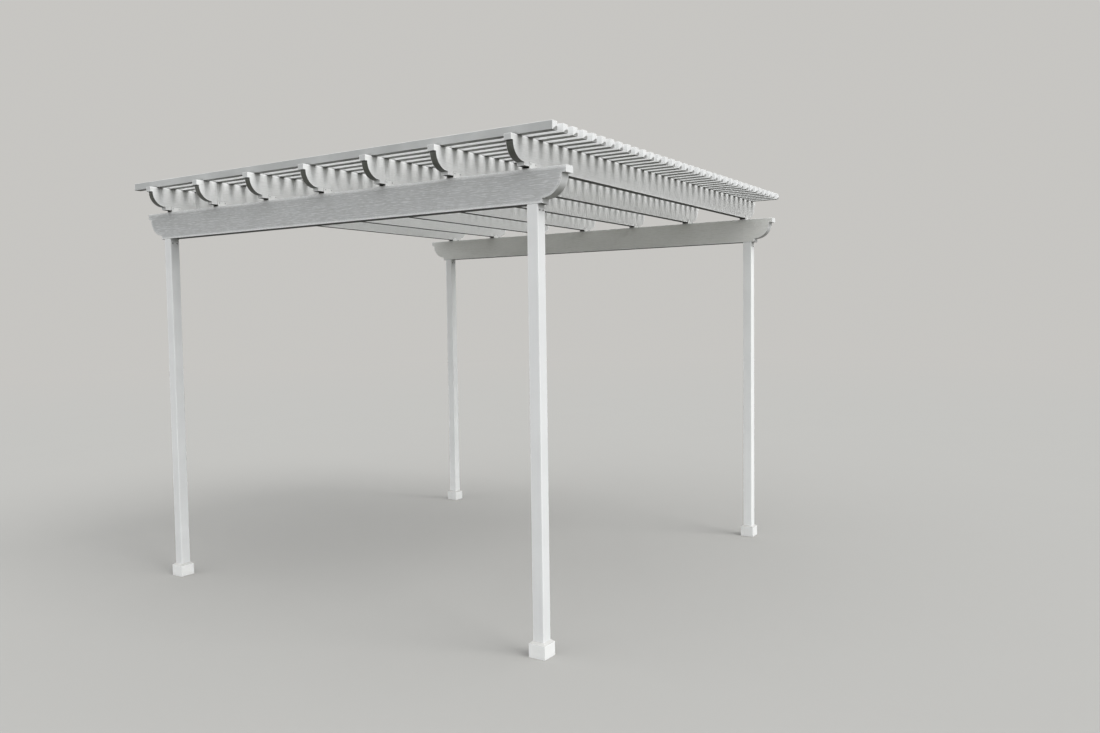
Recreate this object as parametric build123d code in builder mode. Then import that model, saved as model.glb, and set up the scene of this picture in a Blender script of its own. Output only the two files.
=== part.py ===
from build123d import *
import os

# Free-standing pergola of white embossed aluminium, in millimetres.
# Origin: at floor level, in the middle of the plan. X runs along the beams, Y along the rafters.

# Posts
post_size = 76.2
post_wall = 3.2
post_corner_radius = 4.0
post_height = 2667.0
post_spacing_x = 3436.0
post_spacing_y = 3460.0

# Base trims, the square collars round the post feet
trim_size = 113.0
trim_side_height = 83.0
trim_bevel_height = 14.0
trim_bevel_width = 17.0
trim_wall = 3.0
trim_post_gap = 0.3

# Beams, front and back
beam_thickness = 76.2
beam_height = 203.2
beam_overhang = 232.0
beam_wall = 3.0
beam_edge_radius = 2.5
beam_nose_height = 40.0
beam_nose_reach = 29.0
beam_step_height = 29.2

# Rafters, across the beams
rafter_count = 7
rafter_inset = 41.6
rafter_thickness = 50.8
rafter_height = 165.1
rafter_overhang = 215.0
rafter_wall = 2.0
rafter_edge_radius = 1.5
rafter_nose_height = 36.0
rafter_nose_reach = 19.0
rafter_step_height = 21.1

# Channel brackets that hold the rafters above the beams
bracket_length = 76.2
bracket_base = 3.0
bracket_flange = 3.0
bracket_rise = 38.0
rafter_lift = 12.7

# Scalloped end caps of beams and rafters
cap_sheet = 2.0
cap_gap = 0.3

# Shade bars, the square tubes across the rafters
bar_count = 35
bars_per_row = 5
bar_size = 50.8
bar_wall = 1.6
bar_corner_bevel = 1.5
bar_overhang = 260.6
bar_end_margin = 83.5

# Pyramid caps on the bar ends
bar_cap_flange = 2.0
bar_cap_lip = 1.0
bar_cap_point_height = 11.0
bar_cap_point_size = 16.0

# Levels, from the floor up
beam_top = post_height + beam_height
rafter_bottom = beam_top + rafter_lift
rafter_top = rafter_bottom + rafter_height
bar_level = rafter_top + bar_size / 2

# Lengths: overhangs run from the posts' or the outermost rafters' centre lines
beam_length = post_spacing_x + 2 * beam_overhang
rafter_length = post_spacing_y + 2 * rafter_overhang
rafter_span = post_spacing_x - 2 * rafter_inset
bar_length = rafter_span + 2 * bar_overhang
bar_span = rafter_length - 2 * bar_end_margin


def scalloped_side(length, height, nose_height, nose_reach, step_height):
    """Side view of a member: square nose, quarter-round belly and small step at both ends."""
    tip = length / 2
    curve_start = tip - nose_reach
    nose_level = height - nose_height
    radius = nose_level - step_height
    step = curve_start - radius
    with BuildSketch() as side:
        with BuildLine():
            Polyline((0, height), (tip, height), (tip, nose_level), (curve_start, nose_level))
            CenterArc((step, nose_level), radius, 0, -90)
            Polyline((step, step_height), (step, 0), (0, 0))
            mirror(about=Plane.YZ)
        make_face()
    return side.sketch


def spread(count, span):
    """Evenly spaced places over a span, centred on zero."""
    return [(i / (count - 1) - 0.5) * span for i in range(count)]


def hollow_member(mid_plane, side, length, thickness, height, wall, edge_radius):
    """Rectangular tube with the given side view and rounded long edges, open at both ends."""
    with BuildPart() as member:
        with BuildSketch(mid_plane):
            add(side)
        extrude(amount=thickness / 2, both=True)
        along = Axis(mid_plane.origin, mid_plane.x_dir)
        long_edges = member.edges().filter_by(along).sort_by(SortBy.LENGTH)[-4:]
        fillet(long_edges, radius=edge_radius)
        with BuildSketch(mid_plane):
            with Locations((0, height / 2)):
                Rectangle(length, height - 2 * wall)
        extrude(amount=thickness / 2 - wall, both=True, mode=Mode.SUBTRACT)
    return member


def end_cap(mid_plane, side, direction, length, thickness, height, wall, end_reach):
    """Bent sheet that closes one scalloped end, inside the walls of the tube."""
    inner_height = height - 2 * (wall + cap_gap)
    inner_thickness = thickness - 2 * (wall + cap_gap)
    middle = direction * (length - end_reach) / 2
    with BuildPart() as cap:
        with BuildSketch(mid_plane):
            add(side)
            offset(side, amount=-cap_sheet, kind=Kind.INTERSECTION, mode=Mode.SUBTRACT)
            with Locations((middle, height / 2)):
                Rectangle(end_reach, inner_height, mode=Mode.INTERSECT)
        extrude(amount=inner_thickness / 2, both=True)
    return cap


def export_piece(piece, name):
    """Label a finished piece and write it under its own name."""
    piece.part.label = name
    export_step(piece.part, "parts/" + name + ".step")


os.makedirs("parts", exist_ok=True)

# Posts and their base trims
post_places = {
    "front_left": (-post_spacing_x / 2, -post_spacing_y / 2),
    "front_right": (post_spacing_x / 2, -post_spacing_y / 2),
    "back_left": (-post_spacing_x / 2, post_spacing_y / 2),
    "back_right": (post_spacing_x / 2, post_spacing_y / 2),
}

for corner, place in post_places.items():
    with BuildPart() as post:
        with BuildSketch():
            with Locations(place):
                RectangleRounded(post_size, post_size, post_corner_radius)
                Rectangle(post_size - 2 * post_wall, post_size - 2 * post_wall, mode=Mode.SUBTRACT)
        extrude(amount=post_height)
    export_piece(post, corner + "_post")

    with BuildPart() as trim:
        with BuildSketch():
            with Locations(place):
                Rectangle(trim_size, trim_size)
        extrude(amount=trim_side_height + trim_bevel_height)
        top = trim.faces().sort_by(Axis.Z)[-1]
        chamfer(top.edges(), length=trim_bevel_width, length2=trim_bevel_height, reference=top)
        with BuildSketch():
            with Locations(place):
                Rectangle(trim_size - 2 * trim_wall, trim_size - 2 * trim_wall)
        extrude(amount=trim_side_height - trim_wall, mode=Mode.SUBTRACT)
        with BuildSketch():
            with Locations(place):
                hole_size = post_size + 2 * trim_post_gap
                Rectangle(hole_size, hole_size)
        extrude(amount=trim_side_height + trim_bevel_height, mode=Mode.SUBTRACT)
    export_piece(trim, corner + "_base_trim")

# Beams on the posts, with their end caps
beam_side = scalloped_side(
    beam_length, beam_height, beam_nose_height, beam_nose_reach, beam_step_height
)
beam_belly = beam_height - beam_nose_height - beam_step_height
beam_end_reach = beam_nose_reach + beam_belly + cap_sheet
beam_rows = {"front": -post_spacing_y / 2, "back": post_spacing_y / 2}
ends = {"left": -1, "right": 1}

for row, beam_y in beam_rows.items():
    beam_plane = Plane((0, beam_y, post_height), x_dir=(1, 0, 0), z_dir=(0, -1, 0))
    beam = hollow_member(
        beam_plane, beam_side, beam_length, beam_thickness,
        beam_height, beam_wall, beam_edge_radius,
    )
    export_piece(beam, row + "_beam")
    for end, direction in ends.items():
        cap = end_cap(
            beam_plane, beam_side, direction, beam_length,
            beam_thickness, beam_height, beam_wall, beam_end_reach,
        )
        export_piece(cap, row + "_beam_" + end + "_cap")

# Rafters, held above the beams
rafter_side = scalloped_side(
    rafter_length, rafter_height, rafter_nose_height, rafter_nose_reach, rafter_step_height
)
rafter_belly = rafter_height - rafter_nose_height - rafter_step_height
rafter_end_reach = rafter_nose_reach + rafter_belly + cap_sheet
rafter_xs = spread(rafter_count, rafter_span)

for number, rafter_x in enumerate(rafter_xs, start=1):
    rafter_plane = Plane((rafter_x, 0, rafter_bottom), x_dir=(0, 1, 0), z_dir=(1, 0, 0))
    rafter = hollow_member(
        rafter_plane, rafter_side, rafter_length, rafter_thickness,
        rafter_height, rafter_wall, rafter_edge_radius,
    )
    export_piece(rafter, "rafter_" + str(number))

rafter_ends = {"front": -1, "back": 1}
for end, direction in rafter_ends.items():
    with BuildPart() as caps:
        for rafter_x in rafter_xs:
            rafter_plane = Plane((rafter_x, 0, rafter_bottom), x_dir=(0, 1, 0), z_dir=(1, 0, 0))
            cap = end_cap(
                rafter_plane, rafter_side, direction, rafter_length,
                rafter_thickness, rafter_height, rafter_wall, rafter_end_reach,
            )
            add(cap.part)
    export_piece(caps, end + "_rafter_caps")

# Channel brackets on the beam tops
bracket_width = rafter_thickness + 2 * bracket_flange
for row, beam_y in beam_rows.items():
    with BuildPart() as brackets:
        bracket_places = [(rafter_x, beam_y) for rafter_x in rafter_xs]
        with BuildSketch(Plane.XY.offset(beam_top)):
            with Locations(bracket_places):
                Rectangle(bracket_width, bracket_length)
        extrude(amount=bracket_rise)
        with BuildSketch(Plane.XY.offset(beam_top + bracket_base)):
            with Locations(bracket_places):
                Rectangle(rafter_thickness, bracket_length)
        extrude(amount=bracket_rise, mode=Mode.SUBTRACT)
    export_piece(brackets, row + "_rafter_brackets")

# Shade bars on the rafters, in rows of five from the front
bar_ys = spread(bar_count, bar_span)
with BuildSketch() as bar_outline:
    Rectangle(bar_size, bar_size)
    chamfer(bar_outline.vertices(), length=bar_corner_bevel)

for first in range(0, bar_count, bars_per_row):
    row_ys = bar_ys[first:first + bars_per_row]
    with BuildPart() as bars:
        with BuildSketch(Plane.YZ):
            with Locations([(y, bar_level) for y in row_ys]):
                add(bar_outline.sketch)
                Rectangle(bar_size - 2 * bar_wall, bar_size - 2 * bar_wall, mode=Mode.SUBTRACT)
        extrude(amount=bar_length / 2, both=True)
    row_number = first // bars_per_row + 1
    export_piece(bars, "shade_bars_" + str(row_number))

# Pointed caps on the bar ends: a flange with the bar's outline, and a low pyramid inside its lip
point_base = bar_size - 2 * bar_cap_lip
point_low = (point_base - bar_cap_point_size) / 2
point_high = (point_base + bar_cap_point_size) / 2
for end, direction in ends.items():
    bar_end = direction * bar_length / 2
    point_start = direction * (bar_length / 2 + bar_cap_flange)
    point_planes = [
        Plane((point_start, y, bar_level), x_dir=(0, 1, 0), z_dir=(0, 0, -direction))
        for y in bar_ys
    ]
    with BuildPart() as bar_caps:
        with BuildSketch(Plane.YZ.offset(bar_end)):
            with Locations([(y, bar_level) for y in bar_ys]):
                add(bar_outline.sketch)
        extrude(amount=direction * bar_cap_flange)
        with Locations(point_planes):
            Wedge(
                point_base, bar_cap_point_height, point_base,
                point_low, point_low, point_high, point_high,
                align=(Align.CENTER, Align.MIN, Align.CENTER),
            )
    export_piece(bar_caps, "shade_bar_" + end + "_caps")
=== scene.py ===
import math

import bmesh
import bpy
from mathutils import Matrix, Vector


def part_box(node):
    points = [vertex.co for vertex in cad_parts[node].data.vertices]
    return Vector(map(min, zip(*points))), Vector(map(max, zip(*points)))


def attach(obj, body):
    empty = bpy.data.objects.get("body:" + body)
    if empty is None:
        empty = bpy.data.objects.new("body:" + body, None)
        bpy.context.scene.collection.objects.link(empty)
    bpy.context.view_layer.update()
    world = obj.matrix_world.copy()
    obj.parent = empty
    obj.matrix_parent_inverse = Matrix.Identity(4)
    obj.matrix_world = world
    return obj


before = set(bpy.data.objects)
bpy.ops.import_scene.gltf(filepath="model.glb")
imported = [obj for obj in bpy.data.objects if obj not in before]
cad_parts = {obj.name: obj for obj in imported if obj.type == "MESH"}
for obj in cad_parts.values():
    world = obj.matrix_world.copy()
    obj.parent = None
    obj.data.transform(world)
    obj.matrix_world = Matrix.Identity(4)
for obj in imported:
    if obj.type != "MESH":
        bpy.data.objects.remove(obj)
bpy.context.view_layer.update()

# A white pergola of embossed aluminium: paint, grain, dirt, painted light and shade, and screws
# around the imported parts.
# Lengths are in metres. X runs along the beams, Y along the rafters, and Z is up.

# Axes, and the Z of a direction that points straight up
ALONG_X = 0
ALONG_Y = 1
ALONG_Z = 2
STRAIGHT_UP = 1.0

# Paints with their lit and shaded copies, and what settles on them with painted light and shade, as
# linear colours
# One white paint on every member: the front beam's copy is darker as painted shade, and the copies on
# the back beam, inner rafters, shade bars and back posts are lighter as painted light
BEAM_PAINT_SHADED = (0.515, 0.523, 0.525)
BACK_BEAM_PAINT_LIT = (0.86, 0.86, 0.825)
RAFTER_PAINT = (0.79, 0.795, 0.785)
INNER_RAFTER_PAINT_LIT = (0.865, 0.87, 0.86)
BAR_PAINT_LIT = (0.95, 0.955, 0.95)
SMOOTH_PAINT = (0.80, 0.808, 0.805)
BACK_POST_PAINT_LIT = (0.935, 0.945, 0.935)
TRIM_PAINT = (0.92, 0.925, 0.91)
# Bright colour of the painted highlights on edges, grain crests and cut ends
EDGE_HIGHLIGHT = (0.91, 0.915, 0.91)
# Dirt colour of the rain runs, also used for the painted shade in the grain's hollows
DIRT_AND_HOLLOW_SHADE = (0.30, 0.30, 0.25)
# Near-black painted shade for corners and gaps
CORNER_SHADE = (0.06, 0.06, 0.05)
# Dust colour, also painted shade that darkens faces looking up
TOP_SHADE_AND_DUST = (0.385, 0.381, 0.363)
# Grey painted shade for the roof's front edge
FRONT_SHADE_GREY = (0.44, 0.45, 0.445)
SPLASHED_DIRT = (0.42, 0.38, 0.28)
# Mildew colours, also painted shade that darkens faces looking down
TUBE_MILDEW_AND_SHADE = (0.045, 0.047, 0.041)
SHEET_MILDEW_AND_SHADE = (0.09, 0.095, 0.072)
CAP_MILDEW_AND_SHADE = (0.055, 0.059, 0.043)
POST_SCREW = (0.30, 0.30, 0.29)
BRACKET_SCREW = (0.78, 0.79, 0.78)

# Noise textures: features in a metre, and how detailed, rough and distorted they are.
# Those without a scale lie on a place that is stretched to the size of their features.
STREAKS = {"detail": 3.0, "roughness": 0.55, "distortion": 0.6}
FIGURE = {"detail": 1.5}
RAIN_RUNS = {"detail": 5.0, "roughness": 0.6}
DRAW_LINES = {"detail": 2.0}
TOP_SHADE_SPECKLE = {"scale": 22.0, "detail": 6.0, "roughness": 0.6}
MILDEW_AND_SHADE_PATCHES = {"scale": 7.0, "detail": 6.0, "roughness": 0.7}
FRONT_SHADE_PATCHES = {"scale": 3.0, "detail": 3.0}
CLOUDS = {"scale": 2.3, "detail": 4.0, "roughness": 0.6}
SPATTER = {"scale": 25.0, "detail": 5.0, "roughness": 0.6}
ORANGE_PEEL = {"scale": 420.0, "detail": 2.0}
HANDLED_PATCHES = {"scale": 14.0, "detail": 4.0, "roughness": 0.65}
SCREW_SPOTS = {"scale": 900.0, "detail": 4.0, "roughness": 0.7}
FLOOR_CLOUDS = {"scale": 0.8, "detail": 3.0}

# Below, a pair holds the two ends of a change. Some names say what is measured over it: noise is a
# texture's own value, grain is the grain's height, and facing is how squarely a surface looks that
# way. All three reach up to 1.

# Embossed grain: streaks along the member over figure lines, its strength on each kind of member,
# its hollows darkened as painted shade, its crests lightened as painted highlight, and the plain cut
# ends in the bright colour of a painted highlight
STREAK_LENGTH = 0.045
STREAK_WIDTH = 0.0050
STREAK_NOISE = (0.3, 0.7)
STREAK_SHARE = 0.72
FIGURE_LENGTH = 0.55
FIGURE_WIDTH = 0.06
FIGURE_BEND = 30.0
LINE_PITCH = 0.012
LINE_SHARE = 0.28
EMBOSS_DEPTH = 0.0007
BEAM_GRAIN = 0.72
BACK_BEAM_GRAIN = 0.35
RAFTER_GRAIN = 0.35
BAR_GRAIN = 0.3
HOLLOW_GRAIN = (0.10, 0.50)
HOLLOW_SHADE = 0.32
CREST_GRAIN = (0.60, 0.85)
CREST_HIGHLIGHT = 0.40
CUT_FACING = (0.03, 0.25)

# Shade that drifts over the paint, and a painted highlight along the sharp edges
CLOUD_NOISE = (0.35, 0.65)
CLOUD_SHADE = 0.955
EDGE_REACH = 0.012
BEAM_EDGE_REACH = 0.022
BAR_CAP_EDGE_REACH = 0.004
EDGE_SAMPLES = 4
EDGE_AGREEMENT = (0.93, 0.998)
TUBE_EDGE_SHINE = 0.9
SHEET_EDGE_SHINE = 0.6

# Rain runs, dust with painted shade on top, and splashes near the floor
RUN_LENGTH = 0.5
RUN_WIDTH = 0.012
RUN_NOISE = (0.50, 0.80)
RUN_COVER = 0.05
TOP_SHADE_NOISE = (0.2, 0.8)
TOP_SHADE_COVER = (0.68, 0.92)
TUBE_TOP_SHADE_START = 0.75
SHEET_TOP_SHADE_START = 0.35
SPLASH_HEIGHT = 0.10
SPLASH_NOISE = (0.45, 0.80)
SPLASH_COVER = 0.12

# Mildew with painted shade on faces that look down: its colour, how far down the surface faces,
# and how much of the paint it covers
MILDEW_AND_SHADE_NOISE = (0.3, 0.7)
MILDEW_AND_SHADE = {
    "under_tubes": {"colour": TUBE_MILDEW_AND_SHADE, "facing": (0.02, 0.75), "cover": (0.84, 0.97)},
    "under_bars": {"colour": TUBE_MILDEW_AND_SHADE, "facing": (0.02, 0.75), "cover": (0.45, 0.70)},
    "under_sheets": {"colour": SHEET_MILDEW_AND_SHADE, "facing": (0.30, 1.00), "cover": (0.50, 0.80)},
    "front_caps": {"colour": CAP_MILDEW_AND_SHADE, "facing": (0.02, 0.08), "cover": (0.88, 0.98)},
}

# Painted shade in corners and gaps: how open the surface is where the shade is full and where it ends
CORNER_REACH = 0.03
CORNER_SAMPLES = 6
USUAL_CORNERS = (0.2, 0.9)
UNDER_BAR_CORNERS = (0.42, 0.9)
BRACKET_CORNERS = (0.2, 0.55)

# Painted shade: grey darkening in patches on the roof's front edge
FRONT_SHADE_FACING = (0.5, 0.9)
FRONT_SHADE_DEPTH = 0.03
FRONT_SHADE_NOISE = (0.35, 0.65)
FRONT_SHADE_LEAST_SHARE = 0.8

# Gloss of the paint, and the relief of smooth paint
PAINT_IOR = 1.5
COAT_ROUGHNESS = 0.3
SHEET_COAT = 0.15
SATIN_GRAIN = (0.2, 0.9)
SATIN_ROUGHNESS = (0.58, 0.44)
MATT_FACING = (0.3, 0.9)
MATT_ROUGHNESS = 0.4
DRAW_LENGTH = 0.9
DRAW_WIDTH = 0.004
HANDLED_NOISE = (0.3, 0.7)
HANDLED_ROUGHNESS = (0.36, 0.5)
SHEET_RELIEF = 0.00006

# Metal of the screws
TARNISH_SHADE = 0.6
TARNISH_NOISE = (0.4, 0.65)
SCREW_GLOSS_NOISE = (0.35, 0.7)
SCREW_ROUGHNESS = (0.38, 0.62)
SCREW_RELIEF = 0.0001
SCREW_CORNER_REACH = 0.006
SCREW_CORNER_SAMPLES = 4

# Screws: hexagonal heads on round flanges. Edges, tapers and the head's foot are shares of these sizes.
SCREW_FLANGE_RADIUS = 0.0055
SCREW_FLANGE_RISE = 0.0010
SCREW_FLANGE_EDGE = 0.6
SCREW_FLANGE_TAPER = 0.93
SCREW_HEAD_RADIUS = 0.0040
SCREW_HEAD_RISE = 0.0040
SCREW_HEAD_FOOT = 1.2
SCREW_HEAD_EDGE = 0.85
SCREW_HEAD_TAPER = 0.82
SCREW_HEAD_CORNERS = 6
SCREW_SIDES = 24
POST_SCREW_DROP = 0.034
POST_SCREW_SPREAD = 0.019
BRACKET_SCREW_LEVEL = 0.028
BRACKET_SCREW_MARGIN = 0.012

# Camera, solved from the photograph
IMAGE_WIDTH = 1100
FOCAL_PIXELS = 903.6
SENSOR_WIDTH = 36.0
CAMERA_PLACE = (4.6394, -6.1335, 2.0077)
CAMERA_YAW = 0.5725
CAMERA_PITCH = -0.0533
CAMERA_ROLL = -0.0132
CAMERA_SIGHT = 200.0

# Floor and light. A rise is that of a direction, from 0 at the horizon to 1 overhead.
BACKGROUND = (0.570, 0.561, 0.540)
FLOOR_SIZE = 400.0
FLOOR_COLOUR = (0.329, 0.325, 0.311)
FLOOR_SHADE = 0.985
FLOOR_BOUNCE = (0.095, 0.095, 0.085)
FADE_DISTANCE = (9.0, 35.0)
SKY_COLOUR = (0.975, 0.985, 1.0)
SKY_HORIZON = 0.16
OVERHEAD_START = 0.33
OVERHEAD_STRENGTH = 2.30
FRONT_STRENGTH = 1.05
RIGHT_STRENGTH = 0.50
HAZE_RISE = (-0.25, 0.20)
LAMP_FROM = (0.70, 0.0, 0.71)
LAMP_SPREAD = 34.0
LAMP_STRENGTH = 2.00


class Graph:
    """The node tree of a material or a world, with calls that add and link nodes."""

    def __init__(self, owner):
        owner.use_nodes = True
        self.owner = owner
        self.tree = owner.node_tree
        self.tree.nodes.clear()

    def node(self, kind, inputs=None, **settings):
        made = self.tree.nodes.new(kind)
        for setting, value in settings.items():
            setattr(made, setting, value)
        for socket, value in (inputs or {}).items():
            self.feed(made.inputs[socket], value)
        return made

    def feed(self, socket, value):
        if isinstance(value, bpy.types.NodeSocket):
            self.tree.links.new(value, socket)
        else:
            socket.default_value = value

    def math(self, operation, first, second=0.0):
        return self.node("ShaderNodeMath", {0: first, 1: second}, operation=operation).outputs[0]

    def negative(self, value):
        return self.math("MULTIPLY", value, -1.0)

    def positive(self, value):
        """The value, or 0 where it is less."""
        return self.math("MAXIMUM", value, 0.0)

    def split(self, vector):
        """The X, Y and Z of a vector."""
        return self.node("ShaderNodeSeparateXYZ", {0: vector}).outputs

    def stretch(self, place, along, length, width):
        """The place on which features come out this long along one axis and this wide across it."""
        scales = [1 / width] * 3
        scales[along] = 1 / length
        stretched = self.node("ShaderNodeVectorMath", {0: place, 1: scales}, operation="MULTIPLY")
        return stretched.outputs["Vector"]

    def noise(self, place, detail, scale=1.0, roughness=0.5, distortion=0.0):
        inputs = {
            "Vector": place,
            "Scale": scale,
            "Detail": detail,
            "Roughness": roughness,
            "Distortion": distortion,
        }
        return self.node("ShaderNodeTexNoise", inputs).outputs["Fac"]

    def remap(self, value, low, high, new_low=0.0, new_high=1.0):
        inputs = {
            "Value": value,
            "From Min": low,
            "From Max": high,
            "To Min": new_low,
            "To Max": new_high,
        }
        made = self.node("ShaderNodeMapRange", inputs, interpolation_type="SMOOTHSTEP")
        return made.outputs["Result"]

    def mix(self, factor, first, second):
        made = self.node("ShaderNodeMix", data_type="RGBA")
        self.feed(made.inputs["Factor"], factor)
        self.feed(made.inputs["A"], first)
        self.feed(made.inputs["B"], second)
        return made.outputs["Result"]

    def openness(self, reach, samples):
        """1 on an open surface, and less in corners and gaps within this reach."""
        made = self.node("ShaderNodeAmbientOcclusion", {"Distance": reach}, samples=samples)
        return made.outputs["AO"]

    def bump(self, height, depth):
        """Normals of a surface with this relief."""
        inputs = {"Strength": 1.0, "Distance": depth, "Height": height}
        return self.node("ShaderNodeBump", inputs).outputs["Normal"]

    def seen_directly(self):
        """1 for rays from the camera and in gloss or glass, and 0 for light on the object."""
        path = self.node("ShaderNodeLightPath")
        seen = path.outputs["Is Camera Ray"]
        for ray in ("Is Glossy Ray", "Is Transmission Ray"):
            seen = self.math("MAXIMUM", seen, path.outputs[ray])
        return seen

    def finish(self, shader, output="ShaderNodeOutputMaterial"):
        """Makes this shader the surface, and gives back the finished material or world."""
        self.node(output, {"Surface": shader.outputs[0]})
        return self.owner


def opaque(colour):
    return (*colour, 1.0)


def shaded(colour, share):
    """The colour, darkened to this share of its light."""
    return tuple(channel * share for channel in colour)


def object_place(graph):
    return graph.node("ShaderNodeTexCoord").outputs["Object"]


def facing(graph):
    """The X, Y and Z of the direction that the surface faces."""
    return graph.split(graph.node("ShaderNodeNewGeometry").outputs["True Normal"])


def facing_down(graph):
    return graph.negative(facing(graph)["Z"])


def grain_height(graph, place, along):
    """Height of the embossed wood grain: broken streaks over flowing figure lines, from 0 to 1."""
    streak_place = graph.stretch(place, along, STREAK_LENGTH, STREAK_WIDTH)
    streaks = graph.remap(graph.noise(streak_place, **STREAKS), *STREAK_NOISE)
    figure_place = graph.stretch(place, along, FIGURE_LENGTH, FIGURE_WIDTH)
    figure = graph.noise(figure_place, **FIGURE)
    axes = graph.split(place)
    across = [axes[axis] for axis in (ALONG_X, ALONG_Y, ALONG_Z) if axis != along]
    level = graph.math("ADD", *across)
    turns = graph.math("MULTIPLY", level, 2 * math.pi / LINE_PITCH)
    bend = graph.math("MULTIPLY", figure, FIGURE_BEND)
    wave = graph.math("SINE", graph.math("ADD", turns, bend))
    lines = graph.remap(wave, -1.0, 1.0)
    line_part = graph.math("MULTIPLY", lines, LINE_SHARE)
    streak_part = graph.math("MULTIPLY", streaks, STREAK_SHARE)
    return graph.math("ADD", line_part, streak_part)


def clouded(graph, place, colour):
    """Paint whose shade drifts a little from place to place."""
    clouds = graph.remap(graph.noise(place, **CLOUDS), *CLOUD_NOISE)
    return graph.mix(clouds, opaque(shaded(colour, CLOUD_SHADE)), opaque(colour))


def painted_edge_highlight(graph, paint, amount, reach):
    """Painted highlight along the sharp edges, where a bevelled normal leaves the real one."""
    normal = graph.node("ShaderNodeNewGeometry").outputs["Normal"]
    bevel = graph.node("ShaderNodeBevel", {"Radius": reach}, samples=EDGE_SAMPLES)
    both = {0: normal, 1: bevel.outputs["Normal"]}
    agreement = graph.node("ShaderNodeVectorMath", both, operation="DOT_PRODUCT").outputs["Value"]
    edge = graph.remap(agreement, *EDGE_AGREEMENT, amount, 0.0)
    return graph.mix(edge, paint, opaque(EDGE_HIGHLIGHT))


def front_painted_shade(graph, place, paint, amount):
    """Painted shade: grey darkening in patches on the outermost faces of the roof's front edge."""
    forward = graph.remap(graph.negative(facing(graph)["Y"]), *FRONT_SHADE_FACING)
    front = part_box("shade_bars_1")[0][1]
    at_front = graph.remap(graph.split(place)["Y"], front, front + FRONT_SHADE_DEPTH, 1.0, 0.0)
    reach = graph.math("MULTIPLY", forward, at_front)
    patches = graph.noise(place, **FRONT_SHADE_PATCHES)
    shade_share = graph.remap(patches, *FRONT_SHADE_NOISE, FRONT_SHADE_LEAST_SHARE * amount, amount)
    return graph.mix(graph.math("MULTIPLY", reach, shade_share), paint, opaque(FRONT_SHADE_GREY))


def rain_runs(graph, place, paint):
    """Faint dirty runs that the rain leaves down the faces."""
    run_place = graph.stretch(place, ALONG_Z, RUN_LENGTH, RUN_WIDTH)
    runs = graph.remap(graph.noise(run_place, **RAIN_RUNS), *RUN_NOISE, 0.0, RUN_COVER)
    return graph.mix(runs, paint, opaque(DIRT_AND_HOLLOW_SHADE))


def top_shaded_and_dusty(graph, place, paint, start):
    """Speckled dust with painted shade on faces that look up, full halfway between its start and
    straight up.
    """
    upward = graph.remap(facing(graph)["Z"], start, (start + STRAIGHT_UP) / 2)
    speckle = graph.remap(graph.noise(place, **TOP_SHADE_SPECKLE), *TOP_SHADE_NOISE, *TOP_SHADE_COVER)
    return graph.mix(graph.math("MULTIPLY", upward, speckle), paint, opaque(TOP_SHADE_AND_DUST))


def mildewed_and_shaded(graph, place, paint, mildew):
    """Patches of mildew and painted shade on faces that look down."""
    downward = graph.remap(facing_down(graph), *mildew["facing"])
    patches = graph.remap(graph.noise(place, **MILDEW_AND_SHADE_PATCHES), *MILDEW_AND_SHADE_NOISE, *mildew["cover"])
    return graph.mix(graph.math("MULTIPLY", downward, patches), paint, opaque(mildew["colour"]))


def shaded_corners(graph, paint, amount, limits):
    """Painted shade in the corners and gaps."""
    openness = graph.openness(CORNER_REACH, CORNER_SAMPLES)
    return graph.mix(graph.remap(openness, *limits, amount, 0.0), paint, opaque(CORNER_SHADE))


def weathered_and_shaded(graph, place, paint, top_shade_start, mildew, corners, corner_limits):
    """Rain runs, dust with painted shade on top, mildew with painted shade below, and painted shade in
    the corners.
    """
    paint = rain_runs(graph, place, paint)
    paint = top_shaded_and_dusty(graph, place, paint, top_shade_start)
    paint = mildewed_and_shaded(graph, place, paint, MILDEW_AND_SHADE[mildew])
    return shaded_corners(graph, paint, corners, corner_limits)


def splashed(graph, place, paint):
    """A little splashed dirt on the lowest hand's breadth of whatever stands on the floor."""
    reach = graph.remap(graph.split(place)["Z"], 0.0, SPLASH_HEIGHT, 1.0, 0.0)
    spatter = graph.remap(graph.noise(place, **SPATTER), *SPLASH_NOISE, 0.0, SPLASH_COVER)
    return graph.mix(graph.math("MULTIPLY", reach, spatter), paint, opaque(SPLASHED_DIRT))


def finish_paint(graph, paint, relief, depth, roughness, coat=0.0):
    """Principled paint over a relief, as the material's surface."""
    surface = graph.node(
        "ShaderNodeBsdfPrincipled",
        {
            "Base Color": paint,
            "Roughness": roughness,
            "Normal": graph.bump(relief, depth),
            "IOR": PAINT_IOR,
            "Coat Weight": coat,
            "Coat Roughness": COAT_ROUGHNESS,
        },
    )
    return graph.finish(surface)


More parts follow.
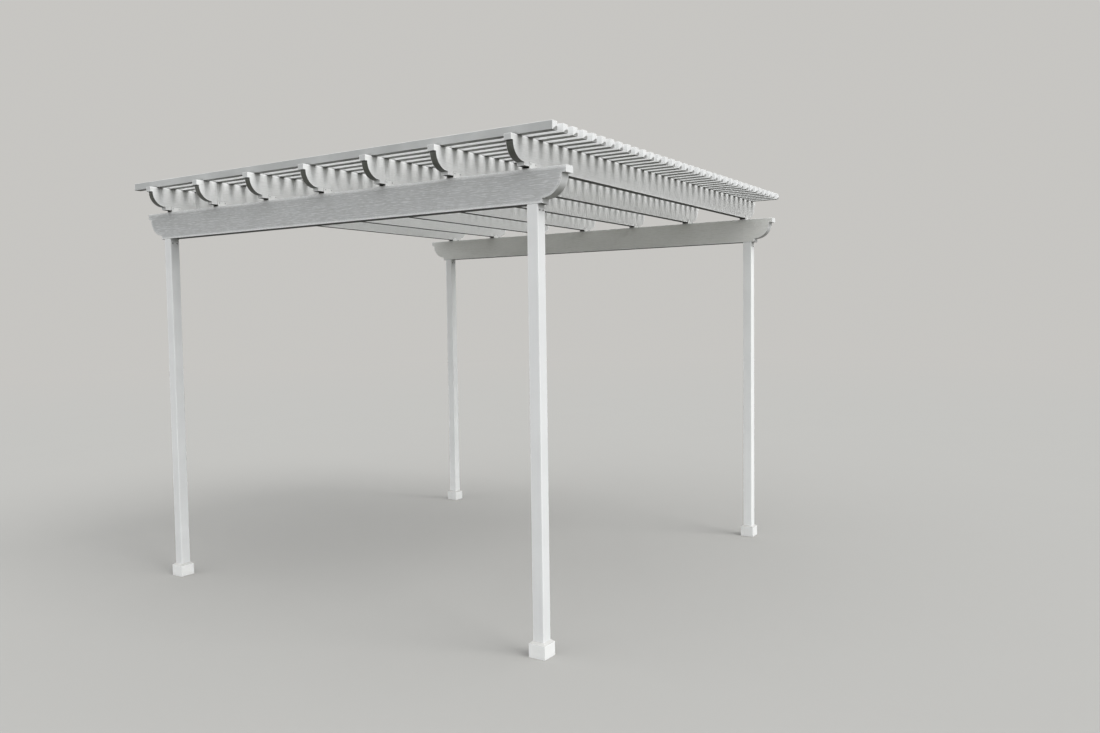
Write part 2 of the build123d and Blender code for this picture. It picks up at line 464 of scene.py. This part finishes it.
def embossed_paint(
    name, colour, along, grain, corners=0.6, corner_limits=USUAL_CORNERS,
    edge_reach=EDGE_REACH, front_shade=0.0, mildew="under_tubes",
):
    """Satin white paint over embossed wood grain that runs along one axis."""
    graph = Graph(bpy.data.materials.new(name))
    place = object_place(graph)
    height = grain_height(graph, place, along)
    paint = clouded(graph, place, colour)
    # Grain hollows darkened as painted shade, and crests lightened as painted highlight
    hollows = graph.remap(height, *HOLLOW_GRAIN, HOLLOW_SHADE * grain, 0.0)
    paint = graph.mix(hollows, paint, opaque(DIRT_AND_HOLLOW_SHADE))
    crests = graph.remap(height, *CREST_GRAIN, 0.0, CREST_HIGHLIGHT * grain)
    paint = graph.mix(crests, paint, opaque(EDGE_HIGHLIGHT))
    paint = painted_edge_highlight(graph, paint, TUBE_EDGE_SHINE, edge_reach)
    if front_shade:
        paint = front_painted_shade(graph, place, paint, front_shade)
    paint = weathered_and_shaded(graph, place, paint, TUBE_TOP_SHADE_START, mildew, corners, corner_limits)
    # Cut ends in the bright colour as a painted highlight, without relief
    cut = graph.remap(graph.math("ABSOLUTE", facing(graph)[along]), *CUT_FACING)
    paint = graph.mix(cut, paint, opaque(EDGE_HIGHLIGHT))
    relief = graph.math("MULTIPLY", height, graph.math("SUBTRACT", 1.0, cut))
    satin = graph.remap(height, *SATIN_GRAIN, *SATIN_ROUGHNESS)
    matt = graph.remap(facing_down(graph), *MATT_FACING, 0.0, MATT_ROUGHNESS)
    roughness = graph.math("ADD", satin, matt)
    return finish_paint(graph, paint, relief, EMBOSS_DEPTH * grain, roughness)


def smooth_paint(
    name, along, colour, mildew="under_sheets", corners=0.15, corner_limits=USUAL_CORNERS,
    edge_reach=EDGE_REACH, low=False, front_shade=0.0,
):
    """Satin white paint on a smooth extrusion or sheet, with the faint texture of sprayed paint."""
    graph = Graph(bpy.data.materials.new(name))
    place = object_place(graph)
    paint = painted_edge_highlight(graph, clouded(graph, place, colour), SHEET_EDGE_SHINE, edge_reach)
    if front_shade:
        paint = front_painted_shade(graph, place, paint, front_shade)
    paint = weathered_and_shaded(graph, place, paint, SHEET_TOP_SHADE_START, mildew, corners, corner_limits)
    if low:
        paint = splashed(graph, place, paint)
    orange_peel = graph.noise(place, **ORANGE_PEEL)
    draw_place = graph.stretch(place, along, DRAW_LENGTH, DRAW_WIDTH)
    relief = graph.math("ADD", orange_peel, graph.noise(draw_place, **DRAW_LINES))
    handled = graph.noise(place, **HANDLED_PATCHES)
    roughness = graph.remap(handled, *HANDLED_NOISE, *HANDLED_ROUGHNESS)
    return finish_paint(graph, paint, relief, SHEET_RELIEF, roughness, coat=SHEET_COAT)


def screw_metal(name, steel, metallic):
    """Weathered metal of the screw heads, with painted shade where they meet the paint."""
    graph = Graph(bpy.data.materials.new(name))
    spots = graph.noise(object_place(graph), **SCREW_SPOTS)
    tarnish_and_shade = opaque(shaded(steel, TARNISH_SHADE))
    worn = graph.mix(graph.remap(spots, *TARNISH_NOISE), opaque(steel), tarnish_and_shade)
    # Painted shade where the head meets the paint
    openness = graph.openness(SCREW_CORNER_REACH, SCREW_CORNER_SAMPLES)
    surface = graph.node(
        "ShaderNodeBsdfPrincipled",
        {
            "Base Color": graph.mix(openness, tarnish_and_shade, worn),
            "Roughness": graph.remap(spots, *SCREW_GLOSS_NOISE, *SCREW_ROUGHNESS),
            "Normal": graph.bump(spots, SCREW_RELIEF),
            "Metallic": metallic,
        },
    )
    return graph.finish(surface)


def all_paints():
    """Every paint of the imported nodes, by a short name."""
    return {
        "beam": embossed_paint(
            "beam_paint", BEAM_PAINT_SHADED, ALONG_X, BEAM_GRAIN, edge_reach=BEAM_EDGE_REACH
        ),
        "back_beam": embossed_paint("back_beam_paint", BACK_BEAM_PAINT_LIT, ALONG_X, BACK_BEAM_GRAIN),
        "rafter": embossed_paint(
            "rafter_paint", RAFTER_PAINT, ALONG_Y, RAFTER_GRAIN,
            corners=0.85, corner_limits=UNDER_BAR_CORNERS,
        ),
        "inner_rafter": embossed_paint(
            "inner_rafter_paint", INNER_RAFTER_PAINT_LIT, ALONG_Y, RAFTER_GRAIN,
            corners=0.85, corner_limits=UNDER_BAR_CORNERS,
        ),
        "bar": embossed_paint(
            "bar_paint", BAR_PAINT_LIT, ALONG_X, BAR_GRAIN, corners=0.95,
            corner_limits=UNDER_BAR_CORNERS, front_shade=0.95, mildew="under_bars",
        ),
        "post": smooth_paint("post_paint", ALONG_Z, SMOOTH_PAINT, low=True),
        "back_post": smooth_paint("back_post_paint", ALONG_Z, BACK_POST_PAINT_LIT, low=True),
        "trim": smooth_paint("trim_paint", ALONG_Z, TRIM_PAINT, low=True),
        "cap": smooth_paint("cap_paint", ALONG_X, SMOOTH_PAINT),
        "bar_cap": smooth_paint(
            "bar_cap_paint", ALONG_X, SMOOTH_PAINT, edge_reach=BAR_CAP_EDGE_REACH
        ),
        "front_rafter_cap": smooth_paint(
            "front_rafter_cap_paint", ALONG_X, SMOOTH_PAINT, mildew="front_caps", front_shade=0.65
        ),
        "bracket": smooth_paint(
            "bracket_paint", ALONG_Y, TRIM_PAINT, corners=0.97, corner_limits=BRACKET_CORNERS
        ),
    }


def paint_of(name):
    """The short name of a node's paint, by what the node's name says it is."""
    if name.endswith("_trim"):
        return "trim"
    if name.endswith("_post"):
        return "back_post" if name.startswith("back_") else "post"
    if name == "front_rafter_caps":
        return "front_rafter_cap"
    if name.startswith("shade_bar_"):
        return "bar_cap"
    if name.endswith(("_cap", "_caps")):
        return "cap"
    if name.endswith("_brackets"):
        return "bracket"
    if name in ("rafter_1", "rafter_7"):
        return "rafter"
    if name.startswith("rafter_"):
        return "inner_rafter"
    if name == "back_beam":
        return "back_beam"
    if name == "front_beam":
        return "beam"
    return "bar"


def paint_nodes():
    """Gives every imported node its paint."""
    paints = all_paints()
    for name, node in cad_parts.items():
        for slot in node.material_slots:
            slot.material = paints[paint_of(name)]


def outline_reach(radius, corners, angle):
    """How far a screw's outline lies from its axis at an angle, round or with straight sides."""
    if corners == SCREW_SIDES:
        return radius
    side = 2 * math.pi / corners
    off_middle = angle % side - side / 2
    return radius * math.cos(side / 2) / math.cos(off_middle)


def add_screw(mesh, place, outward):
    """Adds one hexagonal head on a round flange, seated on a face that looks outward."""
    turn = outward.to_track_quat("Z", "Y").to_matrix()
    outline = (
        (SCREW_FLANGE_RADIUS, 0.0, SCREW_SIDES),
        (SCREW_FLANGE_RADIUS, SCREW_FLANGE_RISE * SCREW_FLANGE_EDGE, SCREW_SIDES),
        (SCREW_FLANGE_RADIUS * SCREW_FLANGE_TAPER, SCREW_FLANGE_RISE, SCREW_SIDES),
        (SCREW_HEAD_RADIUS, SCREW_FLANGE_RISE * SCREW_HEAD_FOOT, SCREW_HEAD_CORNERS),
        (SCREW_HEAD_RADIUS, SCREW_HEAD_RISE * SCREW_HEAD_EDGE, SCREW_HEAD_CORNERS),
        (SCREW_HEAD_RADIUS * SCREW_HEAD_TAPER, SCREW_HEAD_RISE, SCREW_HEAD_CORNERS),
    )
    rings = []
    for radius, rise, corners in outline:
        ring = []
        for step in range(SCREW_SIDES):
            angle = 2 * math.pi * step / SCREW_SIDES
            reach = outline_reach(radius, corners, angle)
            point = Vector((reach * math.cos(angle), reach * math.sin(angle), rise))
            ring.append(mesh.verts.new(Vector(place) + turn @ point))
        rings.append(ring)
    for lower, upper in zip(rings, rings[1:]):
        for step in range(SCREW_SIDES):
            following = (step + 1) % SCREW_SIDES
            mesh.faces.new((lower[step], lower[following], upper[following], upper[step]))
    mesh.faces.new(list(reversed(rings[0])))
    mesh.faces.new(rings[-1])


def screws(name, places, material):
    """One piece that holds all the screws of a kind, each with its place and outward direction."""
    mesh = bmesh.new()
    for place, outward in places:
        add_screw(mesh, place, Vector(outward))
    data = bpy.data.meshes.new(name)
    mesh.to_mesh(data)
    mesh.free()
    data.materials.append(material)
    piece = bpy.data.objects.new(name, data)
    bpy.context.scene.collection.objects.link(piece)
    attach(piece, "root")


def post_screws(metal):
    """Screws in the left and right faces of the post tops, under the beams."""
    places = []
    for corner in ("front_left", "front_right", "back_left", "back_right"):
        low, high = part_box(corner + "_post")
        middle = (low[1] + high[1]) / 2
        level = high[2] - POST_SCREW_DROP
        for face, outward in ((low[0], -1.0), (high[0], 1.0)):
            for side in (-POST_SCREW_SPREAD, POST_SCREW_SPREAD):
                places.append(((face, middle + side, level), (outward, 0.0, 0.0)))
    screws("post_screws", places, metal)


def bracket_screws(row, metal):
    """Screws in the flanges of one row of rafter brackets."""
    low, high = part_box(row + "_rafter_brackets")
    rafters = [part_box(name) for name in sorted(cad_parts) if name[:-1] == "rafter_"]
    flange = rafters[0][0][0] - low[0]
    level = low[2] + BRACKET_SCREW_LEVEL
    places = []
    for rafter_low, rafter_high in rafters:
        for face, outward in ((rafter_low[0] - flange, -1.0), (rafter_high[0] + flange, 1.0)):
            for side in (low[1] + BRACKET_SCREW_MARGIN, high[1] - BRACKET_SCREW_MARGIN):
                places.append(((face, side, level), (outward, 0.0, 0.0)))
    screws(row + "_bracket_screws", places, metal)


def all_screws():
    """All the screws, in bare metal at the posts and painted at the brackets."""
    post_metal = screw_metal("post_screw_metal", POST_SCREW, metallic=0.5)
    bracket_metal = screw_metal("bracket_screw_paint", BRACKET_SCREW, metallic=0.0)
    post_screws(post_metal)
    for row in ("front", "back"):
        bracket_screws(row, bracket_metal)


def camera():
    """Camera at the photograph's place, turned by yaw, pitch and roll."""
    forward = Vector(
        (
            -math.sin(CAMERA_YAW) * math.cos(CAMERA_PITCH),
            math.cos(CAMERA_YAW) * math.cos(CAMERA_PITCH),
            math.sin(CAMERA_PITCH),
        )
    )
    level_right = Vector((math.cos(CAMERA_YAW), math.sin(CAMERA_YAW), 0.0))
    level_up = level_right.cross(forward)
    right = math.cos(CAMERA_ROLL) * level_right + math.sin(CAMERA_ROLL) * level_up
    up = math.cos(CAMERA_ROLL) * level_up - math.sin(CAMERA_ROLL) * level_right
    turn = Matrix((right, up, -forward)).transposed()
    data = bpy.data.cameras.new("camera")
    data.sensor_width = SENSOR_WIDTH
    data.lens = FOCAL_PIXELS / IMAGE_WIDTH * SENSOR_WIDTH
    data.clip_end = CAMERA_SIGHT
    made = bpy.data.objects.new("camera", data)
    made.matrix_world = Matrix.Translation(CAMERA_PLACE) @ turn.to_4x4()
    bpy.context.scene.collection.objects.link(made)
    bpy.context.scene.camera = made


def floor_material():
    """Pale floor that throws back only a little light, and fades into the background."""
    graph = Graph(bpy.data.materials.new("floor"))
    place = object_place(graph)
    seen = graph.seen_directly()
    clouds = graph.noise(place, **FLOOR_CLOUDS)
    pale = graph.mix(clouds, opaque(shaded(FLOOR_COLOUR, FLOOR_SHADE)), opaque(FLOOR_COLOUR))
    shown = graph.mix(seen, opaque(FLOOR_BOUNCE), pale)
    near = graph.node("ShaderNodeBsdfDiffuse", {"Color": shown})
    far = graph.node("ShaderNodeEmission", {"Color": opaque(BACKGROUND)})
    distance = graph.node("ShaderNodeVectorMath", {0: place}, operation="LENGTH").outputs["Value"]
    fade = graph.math("MULTIPLY", graph.remap(distance, *FADE_DISTANCE), seen)
    both = {"Fac": fade, 1: near.outputs[0], 2: far.outputs[0]}
    return graph.finish(graph.node("ShaderNodeMixShader", both))


def floor():
    """Plain flat floor under the pergola."""
    half = FLOOR_SIZE / 2
    mesh = bpy.data.meshes.new("floor")
    corners = [(-half, -half, 0), (half, -half, 0), (half, half, 0), (-half, half, 0)]
    mesh.from_pydata(corners, [], [(0, 1, 2, 3)])
    mesh.materials.append(floor_material())
    made = bpy.data.objects.new("floor", mesh)
    bpy.context.scene.collection.objects.link(made)


def sky():
    """Soft studio dome, brightest overhead, in front and on the right, on a plain background."""
    world = bpy.data.worlds.new("studio")
    bpy.context.scene.world = world
    graph = Graph(world)
    direction = graph.split(graph.node("ShaderNodeTexCoord").outputs["Generated"])
    above = graph.positive(graph.math("SUBTRACT", direction["Z"], OVERHEAD_START))
    overhead = graph.math("MULTIPLY", above, OVERHEAD_STRENGTH)
    ahead = graph.positive(graph.negative(direction["Y"]))
    front = graph.math("MULTIPLY", ahead, FRONT_STRENGTH)
    aside = graph.positive(direction["X"])
    right = graph.math("MULTIPLY", aside, RIGHT_STRENGTH)
    above_haze = graph.remap(direction["Z"], *HAZE_RISE)
    around = graph.math("MULTIPLY", graph.math("ADD", front, right), above_haze)
    strength = graph.math("ADD", graph.math("ADD", overhead, around), SKY_HORIZON)
    light = graph.node("ShaderNodeBackground", {"Color": opaque(SKY_COLOUR), "Strength": strength})
    plain = graph.node("ShaderNodeBackground", {"Color": opaque(BACKGROUND)})
    both = {"Fac": graph.seen_directly(), 1: light.outputs[0], 2: plain.outputs[0]}
    graph.finish(graph.node("ShaderNodeMixShader", both), output="ShaderNodeOutputWorld")


def lamp():
    """Wide soft lamp from above and to the right."""
    data = bpy.data.lights.new("soft_lamp", "SUN")
    data.energy = LAMP_STRENGTH
    data.angle = math.radians(LAMP_SPREAD)
    made = bpy.data.objects.new("soft_lamp", data)
    made.rotation_euler = Vector(LAMP_FROM).to_track_quat("Z", "Y").to_euler()
    bpy.context.scene.collection.objects.link(made)


paint_nodes()
all_screws()
floor()
sky()
lamp()
camera()
bpy.context.scene.view_settings.view_transform = "Standard"
